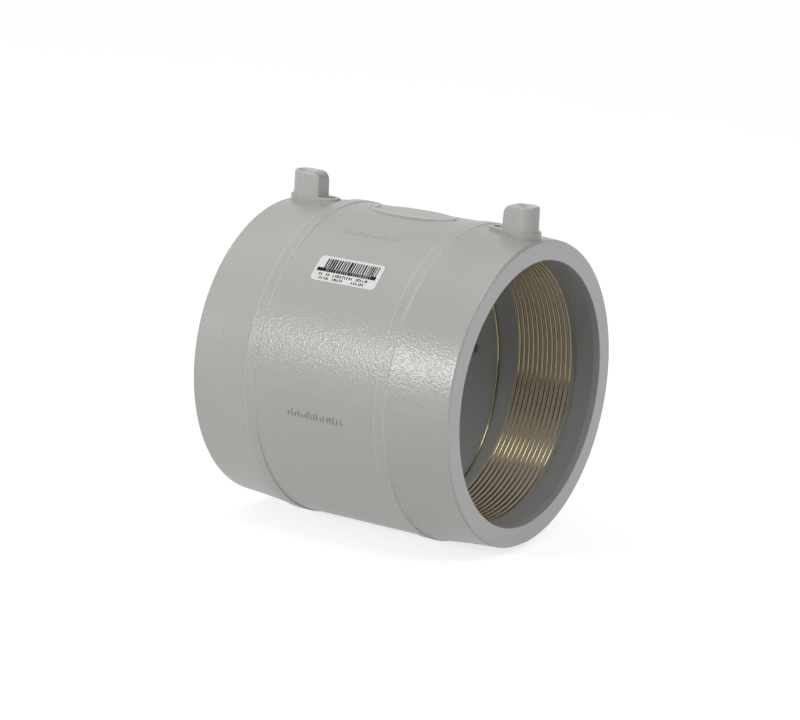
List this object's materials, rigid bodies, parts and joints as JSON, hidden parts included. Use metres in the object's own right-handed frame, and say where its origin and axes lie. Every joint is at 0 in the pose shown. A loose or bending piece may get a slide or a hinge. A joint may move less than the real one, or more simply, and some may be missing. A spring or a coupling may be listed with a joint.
{
  "type": "electrofusion coupler",
  "caption": "Grey electrofusion coupler: an open plastic sleeve with a resistance wire wound round its bore and a shrouded terminal near each end.",
  "frame": {"origin": "centre of the lower end face, on the coupler's axis", "axes": "+Z along the axis from the lower mouth to the upper one, -Y towards the two terminals"},
  "size_m": [0.1532, 0.1651, 0.1434],
  "materials": {
    "grey_plastic": "moulded polypropylene with a fine leather grain",
    "wire_brass": "drawn wire, slightly tarnished",
    "label_film": "white film with dark print",
    "pin_brass": "turned",
    "indicator_plastic": "dark moulded plastic"
  },
  "bodies": {
    "root": {"coupler_body": "grey_plastic", "resistance_wire": "wire_brass", "label": "label_film", "upper_contact_pin": "pin_brass", "lower_contact_pin": "pin_brass", "upper_fusion_indicator": "indicator_plastic", "lower_fusion_indicator": "indicator_plastic"}
  },
  "joints": []
}
